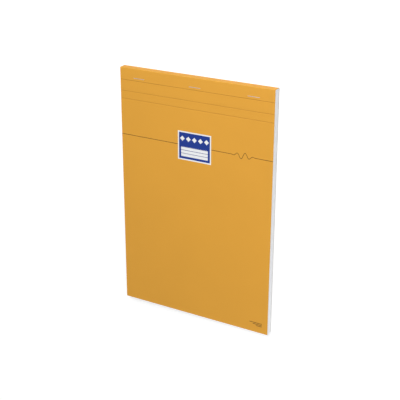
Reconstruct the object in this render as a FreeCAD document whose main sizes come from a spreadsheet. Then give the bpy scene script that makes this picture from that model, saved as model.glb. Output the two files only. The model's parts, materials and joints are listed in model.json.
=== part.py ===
# A writing pad, lying on its back: a block of sheets on a grey board, stapled at the head through a folded
# card cover. X runs across the pad, Y from its foot to its head, and Z up, out of the front cover.
# The origin is under the pad's middle, at the level that the clinched staples rest on.
import FreeCAD, Part
import math
import os
import re
import Sketcher

doc = FreeCAD.newDocument("writing_pad")

# Driving dimensions, in millimetres
DRIVING = {
    "pad_width": 210.0,
    "pad_length": 315.0,
    "sheet_count": 80,
    "sheet_thickness": 0.107,
    "board_thickness": 1.0,
    "board_press": 0.1,
    "card_thickness": 0.35,
    "card_clearance": 0.1,
    "flap_length": 25.0,
    "flap_clearance": 0.2,
    "first_strip": 15.2,
    "second_strip": 14.0,
    "third_strip": 10.0,
    "crease_width": 0.8,
    "crease_depth": 0.12,
    "hinge_gap": 0.1,
    "staple_inset": 27.0,
    "staple_to_crease": 3.3,
    "crown_length": 15.6,
    "clinch_gap": 2.6,
    "wire_diameter": 0.6,
    "wire_bend": 0.05,
    "wire_clearance": 0.03,
    "card_under_wire": 0.1,
}

# Levels and places that follow from them, as formulas over the cells above.
# The card's folds are tight, and still clear the square corners of the block.
DERIVED = {
    "half_width": "pad_width / 2",
    "head": "pad_length / 2",
    "foot": "-pad_length / 2",
    "wire_radius": "wire_diameter / 2",
    "channel_depth": "card_thickness - card_under_wire",
    "wire_proud": "wire_diameter - channel_depth + wire_clearance",
    "flap_level": "wire_proud",
    "flap_inside": "flap_level + card_thickness",
    "board_level": "flap_inside + card_clearance - board_press",
    "sheets_level": "board_level + board_thickness",
    "block_thickness": "sheet_count * sheet_thickness",
    "cover_level": "sheets_level + block_thickness + card_clearance",
    "front_level": "cover_level + card_thickness",
    "spine_inside": "head - card_thickness",
    "block_head": "spine_inside - card_clearance",
    "flap_end": "head - flap_length",
    "band_end": "flap_end - flap_clearance",
    "inner_fold": "2 * card_clearance",
    "outer_fold": "inner_fold + card_thickness",
    "first_crease": "head - first_strip",
    "strip_end": "first_crease + hinge_gap / 2",
    "panel_end": "first_crease - hinge_gap / 2",
    "second_crease": "first_crease - second_strip",
    "third_crease": "second_crease - third_strip",
    "staple_line": "first_crease + staple_to_crease",
    "staple_place": "half_width - staple_inset",
    "leg_place": "crown_length / 2 - wire_radius",
    "bend_radius": "wire_radius + wire_bend",
    "hole_radius": "wire_radius + wire_clearance",
    "channel_half_length": "crown_length / 2 + wire_clearance",
    "crown_level": "front_level + wire_proud - wire_radius",
    "clinch_tip": "clinch_gap / 2",
}

sheet = doc.addObject("Spreadsheet::Sheet", "dimensions")


def fill_sheet():
    """Put each dimension in a row of its own: its name, its value or formula, and its alias."""
    for row, (alias, number) in enumerate(DRIVING.items(), start=1):
        sheet.set(f"A{row}", alias)
        sheet.set(f"B{row}", str(number))
        sheet.setAlias(f"B{row}", alias)
    for row, (alias, formula) in enumerate(DERIVED.items(), start=len(DRIVING) + 1):
        sheet.set(f"A{row}", alias)
        sheet.set(f"B{row}", "=" + formula)
        sheet.setAlias(f"B{row}", alias)
    doc.recompute()


def value(expression):
    """What an expression over the sheet's cells comes to now."""
    return float(sheet.evalExpression(expression))


def bind(target, path, expression):
    """Tie a property or a sketch constraint to an expression over the sheet's cells."""
    target.setExpression(path, re.sub(r"([a-z_]{2,})", r"dimensions.\1", expression))


def origin_plane(body, role):
    """The body's own base plane with this role."""
    for feature in body.Origin.OriginFeatures:
        if feature.Role == role:
            return feature


def new_body(label, level=None):
    """An empty body, standing at a level of the sheet."""
    body = doc.addObject("PartDesign::Body", label)
    body.Label = label
    if level:
        bind(body, "Placement.Base.z", level)
    return body


def new_sketch(body, name, role="XY_Plane", offset=None):
    """A sketch on one of the body's own planes, moved along the plane's normal by an expression."""
    sketch = body.newObject("Sketcher::SketchObject", name)
    sketch.AttachmentSupport = [(origin_plane(body, role), "")]
    sketch.MapMode = "FlatFace"
    if offset:
        bind(sketch, "AttachmentOffset.Base.z", offset)
    return sketch


def fix(sketch, kind, expression, *where):
    """One dimension of a sketch, bound to the sheet."""
    index = sketch.addConstraint(Sketcher.Constraint(kind, *where, value(expression)))
    bind(sketch, f"Constraints[{index}]", expression)


def fix_point(sketch, element, end, across, up):
    """Hold one point of a sketch at two expressions, counted from the sketch's origin."""
    fix(sketch, "DistanceX", across, -1, 1, element, end)
    fix(sketch, "DistanceY", up, -1, 1, element, end)


def add_polygon(sketch, corners):
    """A closed outline through corners, each a pair of expressions."""
    points = [FreeCAD.Vector(value(across), value(up), 0) for across, up in corners]
    lines = []
    for start, end in zip(points, points[1:] + points[:1]):
        lines.append(sketch.addGeometry(Part.LineSegment(start, end)))
    for line, following in zip(lines, lines[1:] + lines[:1]):
        sketch.addConstraint(Sketcher.Constraint("Coincident", line, 2, following, 1))
    for line, (across, up) in zip(lines, corners):
        fix_point(sketch, line, 1, across, up)


def add_rectangle(sketch, left, right, low, high):
    """A rectangle between two expressions across and two up."""
    add_polygon(sketch, [(left, low), (right, low), (right, high), (left, high)])


def add_circle(sketch, across, up, radius):
    """A circle whose centre and radius are expressions."""
    centre = FreeCAD.Vector(value(across), value(up), 0)
    circle = sketch.addGeometry(Part.Circle(centre, FreeCAD.Vector(0, 0, 1), value(radius)))
    fix_point(sketch, circle, 3, across, up)
    fix(sketch, "Radius", radius, circle)


def pad(body, sketch, name, length, symmetric=False):
    """Raise a sketch by an expression, off its plane or to both sides of it."""
    feature = body.newObject("PartDesign::Pad", name)
    feature.Profile = sketch
    if symmetric:
        feature.SideType = "Symmetric"
    bind(feature, "Length", length)
    return feature


def pocket(body, sketch, name, depth=None, upward=False):
    """Cut a sketch into the body by an expression, or right through it."""
    feature = body.newObject("PartDesign::Pocket", name)
    feature.Profile = sketch
    feature.Reversed = upward
    if depth:
        bind(feature, "Length", depth)
    else:
        feature.Type = "ThroughAll"
    return feature


def slab(body, name, low, high, thickness):
    """A flat piece as wide as the pad, between two places along it."""
    outline = new_sketch(body, name + "_outline")
    add_rectangle(outline, "-half_width", "half_width", low, high)
    return pad(body, outline, name, thickness)


# Each staple's place across the pad
STAPLES = {"staple_left": "-staple_place", "staple_middle": "0", "staple_right": "staple_place"}


def leg_holes(body, offset=None, upward=False):
    """Two round holes for each staple's legs, right through the body."""
    holes = new_sketch(body, "leg_holes_outline", offset=offset)
    for place in STAPLES.values():
        for side in ("-", "+"):
            add_circle(holes, f"{place} {side} leg_place", "staple_line", "hole_radius")
    return pocket(body, holes, "leg_holes", upward=upward)


def wire_channels(body, name, level, upward=False):
    """Shallow channels that the pressed wire lies in, one for each staple."""
    channels = new_sketch(body, name + "_outline", offset=level)
    for place in STAPLES.values():
        add_rectangle(
            channels,
            f"{place} - channel_half_length",
            f"{place} + channel_half_length",
            "staple_line - hole_radius",
            "staple_line + hole_radius",
        )
    return pocket(body, channels, name, depth="channel_depth", upward=upward)


# How near two points lie that count as the same
SAME_POINT = 1e-4


def edges_along_x(shape, spots):
    """Names of the edges that run across the pad through spots given as (y, z)."""
    found = []
    for number, edge in enumerate(shape.Edges, start=1):
        start, end = edge.Vertexes[0].Point, edge.Vertexes[-1].Point
        for y, z in spots:
            near = all(abs(p.y - y) + abs(p.z - z) < SAME_POINT for p in (start, end))
            if near and abs(start.x - end.x) > value("half_width"):
                found.append(f"Edge{number}")
    return found


def fold(body, base, name, radius, spots):
    """Round the card's folds, which lie through spots given as pairs of expressions."""
    doc.recompute()
    feature = body.newObject("PartDesign::Fillet", name)
    places = [(value(y), value(z)) for y, z in spots]
    feature.Base = (base, edges_along_x(base.Shape, places))
    bind(feature, "Radius", radius)
    return feature


def make_sheets():
    """The block of sheets, one solid, with the staples' holes at its head."""
    body = new_body("sheets", "sheets_level")
    slab(body, "block", "foot", "block_head", "block_thickness")
    leg_holes(body, upward=True)
    return body


def make_backboard():
    """The grey board, pressed in a little at the head where the cover's flap lies on it."""
    body = new_body("backboard", "board_level")
    slab(body, "board", "foot", "block_head", "board_thickness")
    band = new_sketch(body, "flap_band_outline")
    add_rectangle(band, "-half_width", "half_width", "band_end", "block_head")
    pocket(body, band, "flap_band", depth="board_press", upward=True)
    leg_holes(body, upward=True)
    return body


def make_cover_head():
    """The cover card from the end of its flap, up the spine and down the front to the first crease."""
    body = new_body("cover_head")
    section = new_sketch(body, "card_section", role="YZ_Plane")
    add_polygon(
        section,
        [
            ("flap_end", "flap_level"),
            ("head", "flap_level"),
            ("head", "front_level"),
            ("strip_end", "front_level"),
            ("strip_end", "cover_level"),
            ("spine_inside", "cover_level"),
            ("spine_inside", "flap_inside"),
            ("flap_end", "flap_inside"),
        ],
    )
    card = pad(body, section, "card", "pad_width", symmetric=True)
    outer = [("head", "flap_level"), ("head", "front_level")]
    inner = [("spine_inside", "cover_level"), ("spine_inside", "flap_inside")]
    rounded = fold(body, card, "outer_folds", "outer_fold", outer)
    fold(body, rounded, "inner_folds", "inner_fold", inner)
    wire_channels(body, "crown_channels", "front_level")
    wire_channels(body, "clinch_channels", "flap_level", upward=True)
    leg_holes(body, offset="front_level")
    return body


def make_front_cover():
    """The cover card from the first crease down to the foot, scored at the second and third crease."""
    body = new_body("front_cover", "cover_level")
    slab(body, "panel", "foot", "panel_end", "card_thickness")
    for name in ("second_crease", "third_crease"):
        score = new_sketch(body, name + "_outline", offset="card_thickness")
        low, high = f"{name} - crease_width / 2", f"{name} + crease_width / 2"
        add_rectangle(score, "-half_width", "half_width", low, high)
        pocket(body, score, name, depth="crease_depth")
    return body


def add_wire_path(sketch):
    """The staple's middle line: clinch, leg, crown, leg, clinch, joined by quarter turns."""
    tip, leg = value("clinch_tip"), value("leg_place")
    low, high, bend = value("wire_radius"), value("crown_level"), value("bend_radius")

    def line(x1, z1, x2, z2):
        return sketch.addGeometry(Part.LineSegment(FreeCAD.Vector(x1, z1, 0), FreeCAD.Vector(x2, z2, 0)))

    def turn(x, z, quarter):
        circle = Part.Circle(FreeCAD.Vector(x, z, 0), FreeCAD.Vector(0, 0, 1), bend)
        arc = Part.ArcOfCircle(circle, quarter * math.pi / 2, (quarter + 1) * math.pi / 2)
        return sketch.addGeometry(arc)

    clinch_left = line(-tip, low, -(leg - bend), low)
    leg_left = line(-leg, low + bend, -leg, high - bend)
    crown = line(-(leg - bend), high, leg - bend, high)
    leg_right = line(leg, high - bend, leg, low + bend)
    clinch_right = line(leg - bend, low, tip, low)
    # the wire turns clockwise all along and an arc runs anticlockwise, so each turn is met at its end first
    turns = [
        (clinch_left, turn(-(leg - bend), low + bend, 2), leg_left),
        (leg_left, turn(-(leg - bend), high - bend, 1), crown),
        (crown, turn(leg - bend, high - bend, 0), leg_right),
        (leg_right, turn(leg - bend, low + bend, 3), clinch_right),
    ]
    for before, arc, after in turns:
        sketch.addConstraint(Sketcher.Constraint("Tangent", before, 2, arc, 2))
        sketch.addConstraint(Sketcher.Constraint("Tangent", arc, 1, after, 1))
        fix(sketch, "Radius", "bend_radius", arc)
    for level_line in (clinch_left, crown, clinch_right):
        sketch.addConstraint(Sketcher.Constraint("Horizontal", level_line))
    for upright in (leg_left, leg_right):
        sketch.addConstraint(Sketcher.Constraint("Vertical", upright))
    fix(sketch, "DistanceX", "-leg_place", -1, 1, leg_left, 1)
    fix(sketch, "DistanceX", "leg_place", -1, 1, leg_right, 1)
    fix(sketch, "DistanceY", "crown_level", -1, 1, crown, 1)
    fix(sketch, "DistanceX", "-clinch_tip", -1, 1, clinch_left, 1)
    fix(sketch, "DistanceX", "clinch_tip", -1, 1, clinch_right, 2)
    fix(sketch, "DistanceY", "wire_radius", -1, 1, clinch_left, 1)
    fix(sketch, "DistanceY", "wire_radius", -1, 1, clinch_right, 2)


def make_staple(name, place):
    """One wire staple: its crown lies on the cover and its legs are clinched inwards on the flap."""
    body = new_body(name)
    bind(body, "Placement.Base.x", place)
    bind(body, "Placement.Base.y", "staple_line")
    path = new_sketch(body, "wire_path", role="XZ_Plane")
    add_wire_path(path)
    section = new_sketch(body, "wire_section", role="YZ_Plane", offset="-clinch_tip")
    level = value("wire_radius")
    circle = Part.Circle(FreeCAD.Vector(0, level, 0), FreeCAD.Vector(0, 0, 1), level)
    round_wire = section.addGeometry(circle)
    section.addConstraint(Sketcher.Constraint("PointOnObject", round_wire, 3, -2))
    fix(section, "DistanceY", "wire_radius", -1, 1, round_wire, 3)
    fix(section, "Radius", "wire_radius", round_wire)
    doc.recompute()
    wire = body.newObject("PartDesign::AdditivePipe", "wire")
    wire.Profile = section
    wire.Spine = (path, [])
    return body


def checked(bodies):
    """Stop if any object failed to compute or a piece has no sound shape."""
    doc.recompute()
    for thing in doc.Objects:
        if "Invalid" in thing.State or "Error" in thing.State:
            raise RuntimeError(f"{thing.Label} did not compute: {thing.State}")
    for body in bodies:
        if body.Shape.isNull() or not body.Shape.isValid() or len(body.Shape.Solids) != 1:
            raise RuntimeError(f"{body.Label} has no sound solid")
    return bodies


fill_sheet()
pieces = [make_sheets(), make_backboard(), make_cover_head(), make_front_cover()]
pieces += [make_staple(name, place) for name, place in STAPLES.items()]
os.makedirs("parts", exist_ok=True)
for piece in checked(pieces):
    piece.Shape.exportStep(f"parts/{piece.Label}.step")
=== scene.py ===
import json
import math
import random

import bpy
from mathutils import Matrix, Vector


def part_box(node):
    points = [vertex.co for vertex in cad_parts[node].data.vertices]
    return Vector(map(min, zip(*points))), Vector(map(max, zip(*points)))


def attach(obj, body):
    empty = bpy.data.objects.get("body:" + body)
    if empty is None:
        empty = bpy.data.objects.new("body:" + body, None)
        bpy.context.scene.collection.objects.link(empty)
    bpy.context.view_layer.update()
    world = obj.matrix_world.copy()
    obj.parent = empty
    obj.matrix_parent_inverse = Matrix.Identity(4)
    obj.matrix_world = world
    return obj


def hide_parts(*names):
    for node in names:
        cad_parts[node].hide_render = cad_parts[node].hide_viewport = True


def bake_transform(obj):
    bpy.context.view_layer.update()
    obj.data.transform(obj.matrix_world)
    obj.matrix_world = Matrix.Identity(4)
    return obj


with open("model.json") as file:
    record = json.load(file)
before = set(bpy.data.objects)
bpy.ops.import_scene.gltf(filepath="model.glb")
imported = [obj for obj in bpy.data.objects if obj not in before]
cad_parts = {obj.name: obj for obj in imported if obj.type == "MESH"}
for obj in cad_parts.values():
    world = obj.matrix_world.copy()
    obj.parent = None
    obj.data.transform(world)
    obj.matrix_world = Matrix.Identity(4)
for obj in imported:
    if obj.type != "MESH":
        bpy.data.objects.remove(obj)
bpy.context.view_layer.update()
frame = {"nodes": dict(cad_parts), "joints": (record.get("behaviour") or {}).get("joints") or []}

MM = 0.001

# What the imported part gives: the card's thickness and outer faces, the hinge line, the block and the staples
wrap_low, wrap_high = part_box("cover_head")
panel_low, panel_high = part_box("front_cover")
block_low, block_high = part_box("sheets")
hinge = Vector(frame["joints"][0]["pos_m"])
CARD = panel_high.z - panel_low.z
HALF_WIDTH = panel_high.x
HEAD = wrap_high.y
FOOT = panel_low.y
FRONT = wrap_high.z
BACK = wrap_low.z
STAPLES = [name for name in frame["nodes"] if name.startswith("staple")]
staple_boxes = [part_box(name) for name in STAPLES]
CROWNS = [(low.x, high.x) for low, high in staple_boxes]
STAPLE_LINE = (staple_boxes[0][0].y + staple_boxes[0][1].y) / 2
WIRE_RADIUS = (staple_boxes[0][1].y - staple_boxes[0][0].y) / 2

# The card's folds at the head, and its creases: scored grooves with a lip on both sides
FOLD_RADIUS = 0.55 * MM
FOLD_LENGTH = math.pi / 2 * FOLD_RADIUS
SECOND_CREASE = hinge.y - 14.0 * MM
THIRD_CREASE = SECOND_CREASE - 10.0 * MM
CREASES = (hinge.y, SECOND_CREASE, THIRD_CREASE)
CREASE_DEPTH = 0.13 * MM
CREASE_REACH = 0.38 * MM
LIP_HEIGHT = 0.03 * MM
LIP_PLACE = 0.75 * MM
LIP_REACH = 0.3 * MM

# The dents under the pressed wire, which stands as far off the card as the card's back does off the table
WIRE_PROUD = BACK
DENT_RADIUS = WIRE_RADIUS * 1.05
PINCH_DEPTH = 0.05 * MM
PINCH_REACH = 1.3 * MM

# How far apart the card's points are: on plain stretches, at the creases, at the bend, and beside the wire
FRONT_STEP = 6.0 * MM
FLAP_STEP = 3.0 * MM
SPINE_STEP = 1.5 * MM
COLUMN_STEP = 5.0 * MM
FOLD_STEPS = 8
CREASE_SPAN = 0.5 * MM
CREASE_STEP = 0.1 * MM
CREASE_SHOULDER = 0.8 * MM
BEND_SPAN = 1.1 * MM
WIRE_SPAN = 0.36 * MM
WIRE_STEP = 0.06 * MM
WIRE_SHOULDERS = (0.6 * MM, 1.2 * MM)
WIRE_END_SPAN = 1.2 * MM
WIRE_END_STEP = 0.2 * MM
LEAST_ROW = 0.04 * MM
LEAST_COLUMN = 0.05 * MM
SHARP_ANGLE = math.radians(30.0)

# How strongly each crease and each fold at the head marks the card, by its place along the flat card. The
# creases carry painted shade, most at the first, which is bent the most. At the folds the ink is cracked, so
# the card shows through, and this pale line is partly a painted highlight on the fold.
PAINTED_CREASE_LINES = ((hinge.y, 0.95), (SECOND_CREASE, 0.75), (THIRD_CREASE, 0.75))
FRONT_FOLD = HEAD - FOLD_RADIUS + FOLD_LENGTH / 2
BACK_FOLD = FRONT_FOLD + FOLD_LENGTH + FRONT - BACK - 2 * FOLD_RADIUS
FOLD_CRACKS_AND_HIGHLIGHT = ((FRONT_FOLD, 0.8), (BACK_FOLD, 0.8))
FOLD_REACH = 0.45 * MM

# The label's place on the cover, from its middle line and from the head, and the parts of its design
LABEL_LEFT = -23.1 * MM
LABEL_RIGHT = 23.0 * MM
LABEL_TOP = HEAD - 68.0 * MM
LABEL_BOTTOM = HEAD - 104.5 * MM
LABEL_BORDER = 1.6 * MM
NOTE_TOP = LABEL_BOTTOM + 17.0 * MM
NOTE_BOTTOM = LABEL_BOTTOM + 4.6 * MM
NOTE_INSET = 4.4 * MM
NOTE_PITCH = 4.1 * MM
NOTE_RULE = 0.55 * MM
LOZENGE_LINE = LABEL_TOP - 9.3 * MM
LOZENGE_PITCH = 8.4 * MM
LOZENGE_SIZE = 3.3 * MM

# The line across the cover with its ripple, and the bars at the foot
LINE_DOWN = HEAD - 85.4 * MM
LINE_WIDTH = 0.61 * MM
WAVE_MIDDLE = 66.0 * MM
WAVE_REACH = 17.0 * MM
WAVE_HEIGHT = 8.0 * MM
WAVE_PITCH = 11.0 * MM
BAR_RIGHT = 97.0 * MM
BAR_TOP = HEAD - 301.5 * MM
BAR_PITCH = 1.9 * MM
BAR_WIDTH = 0.75 * MM
BAR_LENGTHS = (17.0 * MM, 12.5 * MM, 8.0 * MM)
PRINT_EDGE = 0.06 * MM

# The block: its sheets, the air between them, and how much they differ in thickness, trim and tone
SHEETS = 80
SEED = 8
AIR = 0.008 * MM
TRIM = 0.05 * MM
UNEVEN = 0.06
SHEET_TONES = (0.965, 1.015)

# The faces of a sheet as a thin box, by its corners: the bottom, the top, and the cut edges
SLAB_FACES = ((0, 3, 2, 1), (4, 5, 6, 7), (0, 1, 5, 4), (1, 2, 6, 5), (2, 3, 7, 6), (3, 0, 4, 7))
CUT_EDGES = 4

# The ruling of a sheet, and the line that it tears off along
RULE_PITCH = 8.0 * MM
RULE_WIDTH = 0.25 * MM
FIRST_RULE = HEAD - 42.0 * MM
MARGIN_PLACE = -HALF_WIDTH + 32.0 * MM
SLIT_LINE = HEAD - 18.0 * MM
SLIT_PITCH = 2.4 * MM
SLIT_LENGTH = 1.7 * MM
SLIT_WIDTH = 0.12 * MM

# How fine each pattern is, in waves to a metre; the knife's streaks across, along and up the block
CARD_CLOUDS = 14.0
CARD_GRAIN = 900.0
CARD_CRACKS = 1600.0
CARD_FIBRES = 1300.0
CORE_FIBRES = 2200.0
PAPER_FIBRES = 1500.0
KNIFE_STREAKS = (12.0, 12.0, 4000.0)
BOARD_BLOTCHES = 60.0
BOARD_FIBRES = 1800.0
WIRE_STREAKS = 9000.0

# The range in which nearly all of a noise lies, and narrower ones that leave more of the surface plain
NOISE_RANGE = (0.3, 0.7)
CRACK_RANGE = (0.35, 0.65)
CARD_FIBRE_RANGE = (0.35, 0.7)
BOARD_FIBRE_RANGE = (0.4, 0.7)

# What the patterns do: how much they lighten and darken, how rough they make, how far they darken the board
CLOUD_TONES = (0.985, 1.015)
GRAIN_TONES = (0.985, 1.012)
FIBRE_TONES = (0.985, 1.01)
STREAK_TONES = (0.97, 1.02)
CARD_ROUGHNESS = (0.56, 0.64)
WIRE_ROUGHNESS = (0.22, 0.4)
BLOTCH_DARK = 0.35
FIBRE_DARK = 0.5

# The card's surfaces, numbered as its materials are. Both kinds of edge are cut card. They share the square
# that their colours are baked into: the outside large, the inside beside it, and the edges as strips.
OUTSIDE, INSIDE, CUT = range(3)
SIDE_EDGE, END_EDGE = "side", "end"
BAKE_MARGIN = 0.006
BAKE_HEIGHT = 0.985
INSIDE_LEFT = 0.605
INSIDE_SHARE = 0.6
SIDE_STRIPS = (0.972, 0.986)
END_STRIPS = (0.64, 0.66)
STRIP_WIDTH = 0.008

# How thin boxes share theirs: each cut edge a row, and the flat faces in what the rows leave
EDGE_ROW = 0.003
ROWS_LOW = 0.004
ROWS_LEFT, ROWS_RIGHT = 0.004, 0.996
HIDDEN_ROOM = (0.004, 0.965, 0.03, 0.995)
SHOWN_ROOM = (0.004, 0.03, 0.996, 0.96)

# The photograph's camera, and how it frames the pad
CAMERA_PLACE = (533.94 * MM, 436.09 * MM, 930.12 * MM)
CAMERA_RIGHT = (0.86747, 0.00261, -0.49748)
CAMERA_UP = (-0.18978, 0.9261, -0.32607)
FOCAL_PIXELS = 931.08
PICTURE_PIXELS = 400
SENSOR = 36.0
CLIP_START = 50.0 * MM

# The studio: the power at which a lamp a metre off lights white to just white, the world's even light, and
# how far the floor is lifted for the camera, beside the pad and from some way off
FULL_POWER = math.pi**2
AMBIENT = 0.365
FLOOR_LIFT = 0.47
FAR_LIFT = 0.75
FAR_FLOOR = 1.2
FLOOR_REACH = 6.0


def srgb(red, green, blue):
    """A colour written as the 0 to 255 of a screen, in linear light."""

    def linear(value):
        value /= 255
        return value / 12.92 if value <= 0.04045 else ((value + 0.055) / 1.055) ** 2.4

    return (linear(red), linear(green), linear(blue), 1.0)


# The colours of ink, card, paper, board and wire, and the whites of the studio
ORANGE = srgb(215, 155, 57)
# painted shade, standing in for the shadow in the creases' grooves
PAINTED_CREASE_SHADE = srgb(150, 98, 26)
# pale card where the folds' ink is cracked, partly a painted highlight on the folds
FOLD_PALE_AND_HIGHLIGHT = srgb(235, 184, 92)
LINE_BROWN = srgb(76, 47, 19)
LABEL_BLUE = srgb(26, 52, 132)
LABEL_WHITE = srgb(228, 229, 230)
CARD_CORE = srgb(219, 212, 197)
CARD_INSIDE = srgb(225, 223, 216)
PAPER = srgb(236, 237, 238)
RULE_BLUE = srgb(150, 172, 205)
MARGIN_RED = srgb(222, 150, 152)
# painted shade in the slits' cuts
PAINTED_SLIT_SHADE = srgb(120, 120, 118)
BOARD_GREY = srgb(216, 215, 210)
BOARD_DARK = srgb(186, 184, 177)
WIRE = srgb(190, 191, 193)
FLOOR_WHITE = (0.7, 0.7, 0.7, 1.0)
LIGHT_WHITE = (1.0, 1.0, 1.0, 1.0)


# Nodes


class Nodes:
    """A node tree, with short calls for the nodes used here."""

    def __init__(self, tree):
        self.tree = tree

    def node(self, kind, settings=(), **inputs):
        made = self.tree.nodes.new(kind)
        for key, value in settings:
            setattr(made, key, value)
        for key, value in inputs.items():
            self.put(made.inputs[key.replace("_", " ")], value)
        return made

    def put(self, socket, value):
        """Link a socket to another, or set its value."""
        if isinstance(value, bpy.types.NodeSocket):
            self.tree.links.new(value, socket)
        else:
            socket.default_value = value

    def maths(self, operation, *values, clamp=False):
        made = self.node("ShaderNodeMath", [("operation", operation), ("use_clamp", clamp)])
        for socket, value in zip(made.inputs, values):
            self.put(socket, value)
        return made.outputs[0]

    def remap(self, value, low, high, start=0.0, end=1.0):
        """Start where value is low, end where it is high, and even between."""
        made = self.node("ShaderNodeMapRange", [("clamp", True)], Value=value)
        for socket, number in zip(made.inputs[1:5], (low, high, start, end)):
            self.put(socket, number)
        return made.outputs[0]

    def seen(self):
        """1 for what the camera sees, itself or in a gloss, and 0 for the light that falls on things."""
        path = self.node("ShaderNodeLightPath")
        return self.maths("MAXIMUM", path.outputs["Is Camera Ray"], path.outputs["Is Glossy Ray"])


class Shader(Nodes):
    """A material with one Principled surface."""

    def __init__(self, name, **surface):
        self.material = bpy.data.materials.new(name)
        self.material.use_nodes = True
        super().__init__(self.material.node_tree)
        self.surface = self.tree.nodes["Principled BSDF"]
        for socket, value in surface.items():
            self.set(socket.replace("_", " "), value)

    def set(self, socket, value):
        self.put(self.surface.inputs[socket], value)

    def uv(self, name):
        return self.node("ShaderNodeUVMap", [("uv_map", name)]).outputs[0]

    def place(self):
        """The point itself, in metres, in the pad's own frame."""
        return self.node("ShaderNodeTexCoord").outputs["Object"]

    def split(self, vector):
        """How far across and how far along a point is."""
        parts = self.node("ShaderNodeSeparateXYZ", Vector=vector)
        return parts.outputs[0], parts.outputs[1]

    def scaled(self, vector, x=1.0, y=1.0, z=1.0):
        """Under 1, a pattern is drawn out along that axis."""
        return self.node("ShaderNodeMapping", Vector=vector, Scale=(x, y, z)).outputs[0]

    def noise(self, vector, scale, detail, roughness=0.6):
        inputs = {"Vector": vector, "Scale": scale, "Detail": detail, "Roughness": roughness}
        return self.node("ShaderNodeTexNoise", **inputs).outputs["Fac"]

    def spread(self, noise, start, end):
        """A noise, spread over this range."""
        return self.remap(noise, *NOISE_RANGE, start, end)

    def apart(self, value, place):
        return self.maths("ABSOLUTE", self.maths("SUBTRACT", value, place))

    def between(self, value, low, high):
        """1 where value lies between low and high, with a printed edge's softness."""
        half = PRINT_EDGE / 2
        rise = self.remap(value, low - half, low + half)
        fall = self.remap(value, high + half, high - half)
        return self.maths("MULTIPLY", rise, fall)

    def rectangle(self, across, along, left, right, bottom, top):
        return self.maths("MULTIPLY", self.between(across, left, right), self.between(along, bottom, top))

    def mix(self, share, first, second, blend="MIX"):
        made = self.node("ShaderNodeMix", [("data_type", "RGBA"), ("blend_type", blend)])
        for socket, value in zip((made.inputs[0], made.inputs[6], made.inputs[7]), (share, first, second)):
            self.put(socket, value)
        return made.outputs[2]

    def colour(self, colour, tone):
        """Make this the surface's colour, lighter or darker by its tone."""
        self.set("Base Color", self.mix(1.0, colour, tone, blend="MULTIPLY"))

    def bump(self, height, depth):
        bump = self.node("ShaderNodeBump", Height=height, Distance=depth, Strength=1.0)
        self.set("Normal", bump.outputs[0])


# The card's materials


def label_masks(shader, across, along):
    """Where the label is, and where it is blue: a white edge, lozenges above, a ruled note field below."""
    label = shader.rectangle(across, along, LABEL_LEFT, LABEL_RIGHT, LABEL_BOTTOM, LABEL_TOP)
    field = shader.rectangle(
        across,
        along,
        LABEL_LEFT + LABEL_BORDER,
        LABEL_RIGHT - LABEL_BORDER,
        LABEL_BOTTOM + LABEL_BORDER,
        LABEL_TOP - LABEL_BORDER,
    )
    note = shader.rectangle(
        across, along, LABEL_LEFT + NOTE_INSET, LABEL_RIGHT - NOTE_INSET, NOTE_BOTTOM, NOTE_TOP
    )
    up_the_note = shader.maths("WRAP", shader.maths("SUBTRACT", along, NOTE_BOTTOM), NOTE_PITCH, 0.0)
    rules = shader.maths("MULTIPLY", note, shader.between(up_the_note, NOTE_PITCH - NOTE_RULE, NOTE_PITCH))
    from_middle = shader.maths("SUBTRACT", across, (LABEL_LEFT + LABEL_RIGHT) / 2)
    sideways = shader.maths("WRAP", from_middle, LOZENGE_PITCH / 2, -LOZENGE_PITCH / 2)
    away = shader.maths("ADD", shader.maths("ABSOLUTE", sideways), shader.apart(along, LOZENGE_LINE))
    lozenges = shader.maths("MULTIPLY", field, shader.between(away, -LOZENGE_SIZE, LOZENGE_SIZE))
    white = shader.maths("MAXIMUM", note, lozenges)
    blue = shader.maths("MULTIPLY", field, shader.maths("SUBTRACT", 1.0, white))
    return label, shader.maths("MAXIMUM", blue, rules)


def line_mask(shader, across, along):
    """The fine line across the cover, with a short ripple in it to the right of the label."""
    from_middle = shader.maths("SUBTRACT", across, WAVE_MIDDLE)
    turn = shader.maths("MULTIPLY", from_middle, math.tau / WAVE_PITCH)
    share = shader.maths("DIVIDE", from_middle, WAVE_REACH)
    fade = shader.maths("SUBTRACT", 1.0, shader.maths("MULTIPLY", share, share), clamp=True)
    swell = shader.maths("MULTIPLY", shader.maths("MULTIPLY", fade, fade), WAVE_HEIGHT / 2)
    height = shader.maths("MULTIPLY", shader.maths("SINE", turn), swell)
    off = shader.apart(shader.maths("SUBTRACT", along, LINE_DOWN), height)
    # where the line is steep it is as wide as elsewhere, measured square to itself
    slope = shader.maths("MULTIPLY", shader.maths("COSINE", turn), swell)
    slope = shader.maths("MULTIPLY", slope, math.tau / WAVE_PITCH)
    reach = shader.maths("SQRT", shader.maths("MULTIPLY_ADD", slope, slope, 1.0))
    return shader.between(shader.maths("DIVIDE", off, reach), -LINE_WIDTH / 2, LINE_WIDTH / 2)


def bars_mask(shader, across, along):
    """Three short bars, one under the other, at the foot of the cover."""
    found = 0.0
    for number, length in enumerate(BAR_LENGTHS):
        top = BAR_TOP - number * BAR_PITCH
        bar = shader.rectangle(across, along, BAR_RIGHT - length, BAR_RIGHT, top - BAR_WIDTH, top)
        found = shader.maths("MAXIMUM", found, bar)
    return found


def marks(shader, along, lines, reach):
    """Marks on lines across the card, each as strong as it says, that fade to nothing at this reach."""
    found = 0.0
    for line, strength in lines:
        mark = shader.remap(shader.apart(along, line), reach, 0.0, 0.0, strength)
        found = shader.maths("MAXIMUM", found, mark)
    return found


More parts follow.
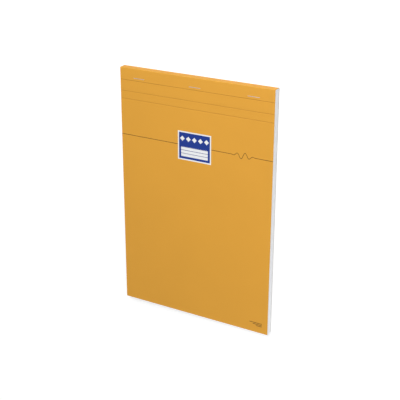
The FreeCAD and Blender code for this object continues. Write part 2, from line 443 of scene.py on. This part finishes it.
def printed_card():
    """The card's outside: print on orange ink, painted shade in the creases, and a pale line on the head's
    folds, partly cracked ink, partly painted highlight.
    """
    shader = Shader("printed_card", Specular_IOR_Level=0.2)
    vector = shader.uv("card")
    across, along = shader.split(vector)
    clouds = shader.noise(vector, CARD_CLOUDS, detail=3.0, roughness=0.55)
    grain = shader.noise(vector, CARD_GRAIN, detail=4.0)
    cracks = shader.noise(shader.scaled(vector, y=0.2), CARD_CRACKS, detail=3.0)
    crease_shading = marks(shader, along, PAINTED_CREASE_LINES, CREASE_REACH)
    fold_cracks_and_highlight = marks(shader, along, FOLD_CRACKS_AND_HIGHLIGHT, FOLD_REACH)
    label, blue = label_masks(shader, across, along)
    colour = shader.mix(line_mask(shader, across, along), ORANGE, LINE_BROWN)
    colour = shader.mix(bars_mask(shader, across, along), colour, LINE_BROWN)
    colour = shader.mix(label, colour, LABEL_WHITE)
    colour = shader.mix(blue, colour, LABEL_BLUE)
    # painted shade in the creases
    colour = shader.mix(crease_shading, colour, PAINTED_CREASE_SHADE)
    # paler at the head's folds: cracked ink, and partly a painted highlight
    cracked_and_highlit = shader.maths("MULTIPLY", fold_cracks_and_highlight, shader.remap(cracks, *CRACK_RANGE))
    colour = shader.mix(cracked_and_highlit, colour, FOLD_PALE_AND_HIGHLIGHT)
    tone = shader.maths("MULTIPLY", shader.spread(clouds, *CLOUD_TONES), shader.spread(grain, *GRAIN_TONES))
    shader.colour(colour, tone)
    shader.set("Roughness", shader.spread(grain, *CARD_ROUGHNESS))
    shader.bump(grain, depth=0.012 * MM)
    return shader.material


def plain_card():
    """The card's inside, uncoated and nearly white."""
    shader = Shader("plain_card", Roughness=0.8, Specular_IOR_Level=0.3)
    drawn_out = shader.scaled(shader.uv("card"), y=0.35)
    fibre = shader.noise(drawn_out, CARD_FIBRES, detail=5.0, roughness=0.65)
    shader.set("Base Color", shader.mix(shader.remap(fibre, *CARD_FIBRE_RANGE), CARD_INSIDE, CARD_CORE))
    shader.bump(fibre, depth=0.02 * MM)
    return shader.material


def cut_card():
    """The card's cut edge, where its pale core shows under the ink."""
    shader = Shader("cut_card", Roughness=0.85)
    fibre = shader.noise(shader.uv("card"), CORE_FIBRES, detail=4.0)
    shader.set("Base Color", shader.mix(shader.spread(fibre, 0.0, 1.0), CARD_CORE, ORANGE))
    return shader.material


# Meshes


def smooth_mesh(name, points, faces):
    """A mesh object with smooth faces, and sharp edges where it turns more than the sharp angle."""
    mesh = bpy.data.meshes.new(name)
    mesh.from_pydata(points, [], faces)
    mesh.update()
    mesh.polygons.foreach_set("use_smooth", [True] * len(mesh.polygons))
    mesh.set_sharp_from_angle(angle=SHARP_ANGLE)
    made = bpy.data.objects.new(name, mesh)
    bpy.context.scene.collection.objects.link(made)
    return made


def steps(low, high, step):
    """Places from low to high, evenly spaced, at most a step apart."""
    count = max(1, math.ceil(abs(high - low) / step))
    return [low + (high - low) * i / count for i in range(count + 1)]


def around(middle, span, step):
    """Places within this span on both sides of the middle."""
    return steps(middle - span, middle + span, step)


def merged(places, least):
    """The places in order, without those that come closer than least to the one before."""
    kept = []
    for place in sorted(places):
        if not kept or place - kept[-1] > least:
            kept.append(place)
    kept[-1] = max(places)
    return kept


# The cover card


def columns():
    """Places across the pad where the card has points: close together where the staples go in."""
    places = steps(-HALF_WIDTH, HALF_WIDTH, COLUMN_STEP)
    for crown in CROWNS:
        for end in crown:
            places += around(end, WIRE_END_SPAN, WIRE_END_STEP)
    return merged(places, LEAST_COLUMN)


def near_wire():
    """Places along the pad where the card has points beside the staples."""
    places = around(STAPLE_LINE, WIRE_SPAN, WIRE_STEP)
    for shoulder in WIRE_SHOULDERS:
        places += [STAPLE_LINE - shoulder, STAPLE_LINE + shoulder]
    return places


def front_rows():
    """Places along the front, from the head's fold to the foot, close together at creases and crowns."""
    places = steps(FOOT, HEAD - FOLD_RADIUS, FRONT_STEP) + near_wire()
    for line in CREASES:
        places += around(line, CREASE_SPAN, CREASE_STEP)
        places += [line - CREASE_SHOULDER, line + CREASE_SHOULDER]
    places += around(hinge.y, BEND_SPAN, CREASE_STEP)
    return merged(places, LEAST_ROW)[::-1]


def quarter_fold(middle_z, start):
    """Points round a fold at the head, from this angle on: y, z, outward and the name of their stretch."""
    centre = Vector((0, HEAD - FOLD_RADIUS, middle_z))
    points = []
    for i in range(1, FOLD_STEPS + 1):
        angle = start + math.pi / 2 * i / FOLD_STEPS
        out = Vector((0, math.cos(angle), math.sin(angle)))
        point = centre + out * FOLD_RADIUS
        points.append((point.y, point.z, out, "fold"))
    return points


def card_path():
    """Points of the card's outside in turn, from the flap's end round the head to the foot."""
    flap = merged(steps(wrap_low.y, HEAD - FOLD_RADIUS, FLAP_STEP) + near_wire(), LEAST_ROW)
    spine = steps(BACK + FOLD_RADIUS, FRONT - FOLD_RADIUS, SPINE_STEP)
    path = [(y, BACK, Vector((0, 0, -1)), "back") for y in flap]
    path += quarter_fold(BACK + FOLD_RADIUS, -math.pi / 2)
    path += [(HEAD, z, Vector((0, 1, 0)), "spine") for z in spine[1:]]
    path += quarter_fold(FRONT - FOLD_RADIUS, 0.0)
    path += [(y, FRONT, Vector((0, 0, 1)), "front") for y in front_rows()[1:]]
    return path


def bell(away, reach):
    """1 in the middle, falling off smoothly, nearly gone at twice the reach."""
    return math.exp(-((away / reach) ** 2))


def relief(x, y, side):
    """How far the card's outside stands off its plane: scored creases, and dents under the pressed wire."""
    height = 0.0
    if side == "front":
        for line in CREASES:
            apart = abs(y - line)
            height -= CREASE_DEPTH * bell(apart, CREASE_REACH)
            height += LIP_HEIGHT * bell(apart - LIP_PLACE, LIP_REACH)
    if side in ("front", "back"):
        off = y - STAPLE_LINE
        for left, right in CROWNS:
            away = math.hypot(off, max(left - x, x - right, 0.0))
            if away < DENT_RADIUS:
                sunk = math.sqrt(DENT_RADIUS**2 - away**2) - (WIRE_PROUD - WIRE_RADIUS)
                height = min(height, -sunk)
            for end in (left + WIRE_RADIUS, right - WIRE_RADIUS):
                height -= PINCH_DEPTH * bell(math.hypot(x - end, off), PINCH_REACH)
    return height


def unrolled(path):
    """How far along the flat card each point of its path lies: y on the front, then on round the head."""
    travel = [path[-1][0]]
    for (y, z, *_), (next_y, next_z, *_) in zip(path[::-1], path[-2::-1]):
        travel.append(travel[-1] + math.hypot(next_y - y, next_z - z))
    return travel[::-1]


def bake_spot(surface, x, along, full_length, deep, strip):
    """Where a point of the flat card lies in the baked square; deep is 1 on the inside of a cut edge."""
    scale = BAKE_HEIGHT / full_length
    across_share = (x + HALF_WIDTH) * scale
    along_share = (along - FOOT) * scale
    if surface == OUTSIDE:
        return BAKE_MARGIN + across_share, BAKE_MARGIN + along_share
    if surface == INSIDE:
        return INSIDE_LEFT + across_share * INSIDE_SHARE, BAKE_MARGIN + along_share * INSIDE_SHARE
    if surface == SIDE_EDGE:
        return SIDE_STRIPS[strip] + deep * STRIP_WIDTH, BAKE_MARGIN + along_share
    return INSIDE_LEFT + across_share * INSIDE_SHARE, END_STRIPS[strip] + deep * STRIP_WIDTH


def card_points(path, xs):
    """All points of the card's outside, row by row, and then those of its inside in the same order."""
    outer, inner = [], []
    for y, z, out, side in path:
        for x in xs:
            place = Vector((x, y, z))
            outer.append(place + out * relief(x, y, side))
            inner.append(place - out * CARD)
    return outer + inner


def card_quads(rows, width):
    """The card's faces: their corners, the surface, and which of its two strips an edge is on."""
    inner = rows * width
    for row in range(rows - 1):
        for column in range(width - 1):
            a = row * width + column
            yield (a, a + width, a + width + 1, a + 1), OUTSIDE, 0
            yield (inner + a, inner + a + 1, inner + a + width + 1, inner + a + width), INSIDE, 0
        for strip, column in enumerate((0, width - 1)):
            a = row * width + column
            rim = (a, inner + a, inner + a + width, a + width)
            yield rim[::-1] if strip else rim, SIDE_EDGE, strip
    for column in range(width - 1):
        for strip, row in enumerate((0, rows - 1)):
            a = row * width + column
            rim = (a, a + 1, inner + a + 1, inner + a)
            yield rim[::-1] if strip else rim, END_EDGE, strip


def make_card():
    """The cover card in one piece: flap, spine and front, with its thickness."""
    path, xs = card_path(), columns()
    travel = unrolled(path)
    rows, width = len(path), len(xs)
    faces, kinds, flat_places, bake_places = [], [], [], []
    for corners, surface, strip in card_quads(rows, width):
        faces.append(corners)
        kinds.append(surface if surface in (OUTSIDE, INSIDE) else CUT)
        for corner in corners:
            deep, spot = divmod(corner, rows * width)
            x, along = xs[spot % width], travel[spot // width]
            flat_places += (x, along)
            bake_places += bake_spot(surface, x, along, travel[0] - FOOT, deep, strip)
    card = smooth_mesh("cover_card", card_points(path, xs), faces)
    mesh = card.data
    for material in (printed_card(), plain_card(), cut_card()):
        mesh.materials.append(material)
    mesh.polygons.foreach_set("material_index", kinds)
    mesh.uv_layers.new(name="card").uv.foreach_set("vector", flat_places)
    mesh.uv_layers.new(name="OFBake").uv.foreach_set("vector", bake_places)
    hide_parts("cover_head", "front_cover")
    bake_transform(card)


# The sheets


def rules_mask(shader, along):
    """Feint lines a pitch apart, from the first rule down to the foot."""
    below = shader.maths("SUBTRACT", FIRST_RULE + RULE_WIDTH / 2, along)
    lines = shader.between(shader.maths("WRAP", below, RULE_PITCH, 0.0), 0.0, RULE_WIDTH)
    return shader.maths("MULTIPLY", shader.remap(below, 0.0, PRINT_EDGE), lines)


def slits_mask(shader, across, along):
    """The row of short slits that a sheet tears off along."""
    in_pitch = shader.maths("WRAP", across, SLIT_PITCH, 0.0)
    half = SLIT_WIDTH / 2
    return shader.rectangle(in_pitch, along, 0.0, SLIT_LENGTH, SLIT_LINE - half, SLIT_LINE + half)


def ruled_colour(shader, vector):
    """White paper with feint lines, a margin, and the slits as painted shade in the cuts."""
    across, along = shader.split(vector)
    half = RULE_WIDTH / 2
    colour = shader.mix(rules_mask(shader, along), PAPER, RULE_BLUE)
    colour = shader.mix(shader.between(across, MARGIN_PLACE - half, MARGIN_PLACE + half), colour, MARGIN_RED)
    # the slits are painted shade
    return shader.mix(slits_mask(shader, across, along), colour, PAINTED_SLIT_SHADE)


def stacked_colour(shader, vector):
    """White paper with the tone of each sheet, and streaks from the knife down the cut edges."""
    tone = shader.node("ShaderNodeAttribute", [("attribute_name", "sheet_tone")]).outputs["Fac"]
    streaks = shader.noise(shader.scaled(vector, *KNIFE_STREAKS), 1.0, detail=3.0)
    tone = shader.maths("MULTIPLY", tone, shader.spread(streaks, *STREAK_TONES))
    return shader.mix(1.0, PAPER, tone, blend="MULTIPLY")


def sheet_material(name, paper_colour):
    """Writing paper: uncoated, with fine fibres, coloured by the function given."""
    shader = Shader(name, Roughness=0.8, Specular_IOR_Level=0.3)
    vector = shader.place()
    fibre = shader.noise(shader.scaled(vector, y=0.5), PAPER_FIBRES, detail=4.0)
    shader.colour(paper_colour(shader, vector), shader.spread(fibre, *FIBRE_TONES))
    shader.bump(fibre, depth=0.01 * MM)
    return shader.material


def cut_sheets():
    """Each sheet's low and high corners, from the bottom up, and the tone of each but the top one."""
    random.seed(SEED)
    weights = [1.0 + random.uniform(-UNEVEN, UNEVEN) for sheet in range(SHEETS)]
    pitch = (block_high.z - block_low.z) / sum(weights)
    bottom = block_low.z
    corners, tones = [], []
    for weight in weights:
        top = bottom + weight * pitch
        left, near, right, far = [random.uniform(0.0, TRIM) for side in range(4)]
        low = Vector((block_low.x + left, block_low.y + near, bottom))
        high = Vector((block_high.x - right, block_high.y - far, top - AIR))
        corners.append((low, high))
        if len(corners) < SHEETS:
            tones.append(random.uniform(*SHEET_TONES))
        bottom = top
    return corners, tones


def room_corners(left, low, right, high):
    """A face's four corners in the baked square, in turn."""
    return [left, low, right, low, right, high, left, high]


def make_slabs(name, corners, top_room, material):
    """Sheets as thin boxes in one mesh, with the square that their colours are baked into."""
    points, faces, places = [], [], []
    for number, (low, high) in enumerate(corners):
        first = len(points)
        for z in (low.z, high.z):
            points += [(low.x, low.y, z), (high.x, low.y, z), (high.x, high.y, z), (low.x, high.y, z)]
        faces += [[first + corner for corner in face] for face in SLAB_FACES]
        places += room_corners(*HIDDEN_ROOM) + room_corners(*top_room)
        for edge in range(CUT_EDGES):
            row = ROWS_LOW + (edge * len(corners) + number) * EDGE_ROW
            places += room_corners(ROWS_LEFT, row, ROWS_RIGHT, row + EDGE_ROW)
    made = smooth_mesh(name, points, faces)
    made.data.uv_layers.new(name="OFBake").uv.foreach_set("vector", places)
    made.data.materials.append(material)
    return made


def make_sheets():
    """Eighty sheets, with the ruled top one as a piece of its own."""
    corners, tones = cut_sheets()
    stacked = sheet_material("sheet_paper", stacked_colour)
    stack = make_slabs("sheet_stack", corners[:-1], HIDDEN_ROOM, stacked)
    attribute = stack.data.attributes.new("sheet_tone", "FLOAT", "FACE")
    attribute.data.foreach_set("value", [tone for tone in tones for face in SLAB_FACES])
    ruled = sheet_material("ruled_paper", ruled_colour)
    top_sheet = make_slabs("top_sheet", corners[-1:], SHOWN_ROOM, ruled)
    for piece in (stack, top_sheet):
        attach(piece, "pad")
        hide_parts("sheets")


# The board and the staples


def board_material():
    """Grey board, pressed from waste paper: blotchy, with darker and paler fibres."""
    shader = Shader("grey_board", Roughness=0.9, Specular_IOR_Level=0.25)
    vector = shader.place()
    blotches = shader.spread(shader.noise(vector, BOARD_BLOTCHES, detail=4.0), 0.0, BLOTCH_DARK)
    fibre = shader.noise(shader.scaled(vector, x=0.4), BOARD_FIBRES, detail=5.0, roughness=0.7)
    fibres = shader.remap(fibre, *BOARD_FIBRE_RANGE, 0.0, FIBRE_DARK)
    shader.set("Base Color", shader.mix(shader.maths("ADD", blotches, fibres), BOARD_GREY, BOARD_DARK))
    shader.bump(fibre, depth=0.03 * MM)
    return shader.material


def wire_material():
    """Galvanised stitching wire, drawn, so its sheen is uneven across it."""
    shader = Shader("staple_wire", Metallic=1.0, Base_Color=WIRE)
    streaks = shader.noise(shader.scaled(shader.place(), x=0.05), WIRE_STREAKS, detail=3.0)
    shader.set("Roughness", shader.spread(streaks, *WIRE_ROUGHNESS))
    shader.bump(streaks, depth=0.004 * MM)
    return shader.material


def dress(nodes, material):
    """Give CAD nodes this material in all their slots."""
    for name in nodes:
        mesh = frame["nodes"][name].data
        mesh.materials.clear()
        mesh.materials.append(material)


# The studio


def make_camera():
    """The camera of the photograph, placed by its own right and up."""
    right, up = Vector(CAMERA_RIGHT).normalized(), Vector(CAMERA_UP).normalized()
    data = bpy.data.cameras.new("camera")
    data.sensor_width = SENSOR
    data.lens = FOCAL_PIXELS / PICTURE_PIXELS * SENSOR
    data.clip_start = CLIP_START
    camera = bpy.data.objects.new("camera", data)
    turn = Matrix((right, up, right.cross(up))).transposed()
    camera.matrix_world = Matrix.Translation(CAMERA_PLACE) @ turn.to_4x4()
    bpy.context.scene.collection.objects.link(camera)
    bpy.context.scene.camera = camera


def make_lamp(name, place, target, size, share):
    """A square soft lamp. At 1 metre it gives this share of the light in which white renders as white."""
    data = bpy.data.lights.new(name, "AREA")
    data.shape = "SQUARE"
    data.size = size
    data.energy = share * FULL_POWER
    lamp = bpy.data.objects.new(name, data)
    lamp.visible_camera = False
    lamp.location = place
    lamp.rotation_euler = (Vector(target) - Vector(place)).to_track_quat("-Z", "Y").to_euler()
    bpy.context.scene.collection.objects.link(lamp)


def make_floor():
    """A white floor that keeps the pad's soft shadow. For the camera it is lifted to plain white."""
    reach = FLOOR_REACH
    points = [(-reach, -reach, 0), (reach, -reach, 0), (reach, reach, 0), (-reach, reach, 0)]
    floor = smooth_mesh("floor", points, [(0, 1, 2, 3)])
    shader = Shader("floor", Roughness=0.9, Specular_IOR_Level=0.0, Base_Color=FLOOR_WHITE)
    length = shader.node("ShaderNodeVectorMath", [("operation", "LENGTH")], Vector=shader.place())
    lift = shader.remap(length.outputs["Value"], HEAD, FAR_FLOOR, FLOOR_LIFT, FAR_LIFT)
    shader.set("Emission Color", LIGHT_WHITE)
    shader.set("Emission Strength", shader.maths("MULTIPLY", shader.seen(), lift))
    floor.data.materials.append(shader.material)


def make_world():
    """White all round: a dim even light on the pad, and plain white behind it for the camera."""
    world = bpy.data.worlds.new("studio")
    bpy.context.scene.world = world
    world.use_nodes = True
    nodes = Nodes(world.node_tree)
    background = world.node_tree.nodes["Background"]
    nodes.put(background.inputs["Color"], LIGHT_WHITE)
    nodes.put(background.inputs["Strength"], nodes.remap(nodes.seen(), 0.0, 1.0, AMBIENT, 1.0))


make_camera()
make_world()
make_floor()
make_lamp("key", place=(0.4, 2.6, 1.7), target=(0.0, 0.0, 0.0), size=2.5, share=5.2)
make_lamp("head_lamp", place=(0.1, 0.35, 0.6), target=(0.0, 0.1, 0.0), size=0.4, share=0.19)
make_lamp("spine_lamp", place=(0.2, 1.2, 0.25), target=(0.0, HEAD, 0.0), size=0.4, share=0.14)
make_lamp("side_lamp", place=(0.6, -0.45, 0.25), target=(HALF_WIDTH, FOOT, 0.0), size=0.3, share=0.18)
make_card()
make_sheets()
dress(["backboard"], board_material())
dress(STAPLES, wire_material())
bpy.context.scene.view_settings.view_transform = "Standard"
